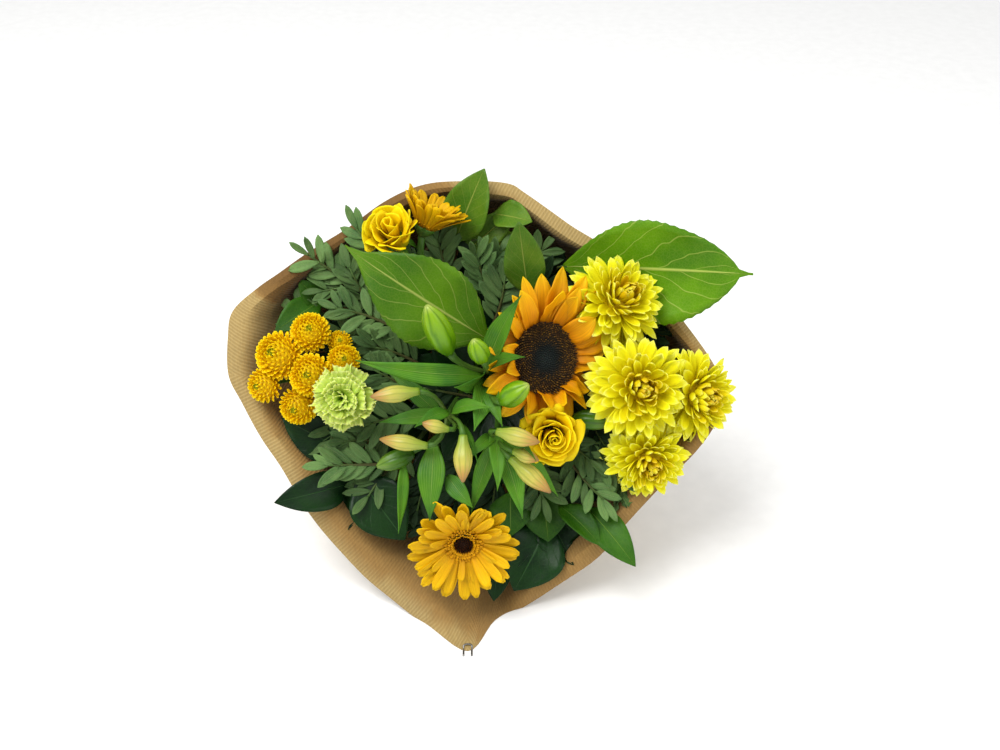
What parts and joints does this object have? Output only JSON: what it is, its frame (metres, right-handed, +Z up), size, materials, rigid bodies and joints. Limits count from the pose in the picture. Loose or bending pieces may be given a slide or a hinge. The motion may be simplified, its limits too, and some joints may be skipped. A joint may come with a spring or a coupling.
{
  "type": "mixed flower bouquet",
  "caption": "Mixed bunch of yellow flowers, green buds and leaves in a flared kraft paper cone, tied at the stems and lying on its side.",
  "frame": {"origin": "on the table, under the middle of the bouquet's box", "axes": "+Z up, -Y the way the flower face looks, +Y towards the cut stems, +X to the right of somebody who looks at the face"},
  "size_m": [0.4032, 0.519, 0.3057],
  "materials": {
    "sunflower_petal": "fresh ray petals, soft sheen",
    "sunflower_disc": "dense disc florets, brown ring round a green-black middle",
    "stem_green": "fresh green stem",
    "gerbera_petal": "fresh strap petals",
    "gerbera_eye": "dark florets",
    "rose_petal": "velvety petals",
    "carnation_petal": "ruffled pale green petals",
    "chrysanthemum_petal": "lemon yellow straps",
    "button_petal": "tight golden florets",
    "lily_bud": "waxy green bud",
    "lily_green": "smooth strap leaves and stem",
    "alstroemeria_bud": "yellow-green bud flushed with pink",
    "pale_leaf": "veined mid-green leaf",
    "dark_leaf": "leathery dark leaf with a gloss",
    "pistache_leaf": "matt grey-green leaflets",
    "kraft_paper": "ribbed natural kraft paper, matt",
    "staple_wire": "bright steel wire",
    "twine": "jute twine"
  },
  "bodies": {
    "root": {"sunflower_petals": "sunflower_petal", "sunflower_disc": "sunflower_disc", "sunflower_stem": "stem_green", "gerbera_front_petals": "gerbera_petal", "gerbera_front_eye": "gerbera_eye", "gerbera_front_stem": "stem_green", "gerbera_back_petals": "gerbera_petal", "gerbera_back_eye": "gerbera_eye", "gerbera_back_stem": "stem_green", "rose_top_petals": "rose_petal", "rose_top_stem": "stem_green", "rose_middle_petals": "rose_petal", "rose_middle_stem": "stem_green", "carnation_petals": "carnation_petal", "carnation_stem": "stem_green", "mum_a_head": "chrysanthemum_petal", "mum_b_head": "chrysanthemum_petal", "mum_c_head": "chrysanthemum_petal", "mum_d_head": "chrysanthemum_petal", "mum_upper_stem": "stem_green", "mum_lower_stem": "stem_green", "button_1_head": "button_petal", "button_2_head": "button_petal", "button_3_head": "button_petal", "button_4_head": "button_petal", "button_6_head": "button_petal", "button_5_head": "button_petal", "button_stem": "stem_green", "lily_bud_upper": "lily_bud", "lily_bud_small": "lily_bud", "lily_bud_right": "lily_bud", "lily_middle_stem": "lily_green", "lily_left": "lily_green", "lily_right": "lily_green", "alstroemeria_bud_left_upper": "alstroemeria_bud", "alstroemeria_bud_left_lower": "alstroemeria_bud", "alstroemeria_bud_left_small": "alstroemeria_bud", "alstroemeria_bud_hanging": "alstroemeria_bud", "alstroemeria_bud_right_upper": "alstroemeria_bud", "alstroemeria_bud_right_small": "alstroemeria_bud", "alstroemeria_bud_right_lower": "alstroemeria_bud", "alstroemeria_left_stem": "lily_green", "alstroemeria_right_stem": "lily_green", "leaf_big_left": "pale_leaf", "leaf_big_right": "pale_leaf", "leaf_spotted": "pale_leaf", "shallon_top": "pale_leaf", "shallon_corner": "dark_leaf", "shallon_left": "dark_leaf", "shallon_bottom": "dark_leaf", "shallon_right": "dark_leaf", "pistache_rim": "pistache_leaf", "pistache_upper": "pistache_leaf", "pistache_inner": "pistache_leaf", "pistache_top": "pistache_leaf", "pistache_left": "pistache_leaf", "pistache_right": "pistache_leaf", "wrapper": "kraft_paper", "staple": "staple_wire", "stem_tie": "twine"}
  },
  "joints": []
}
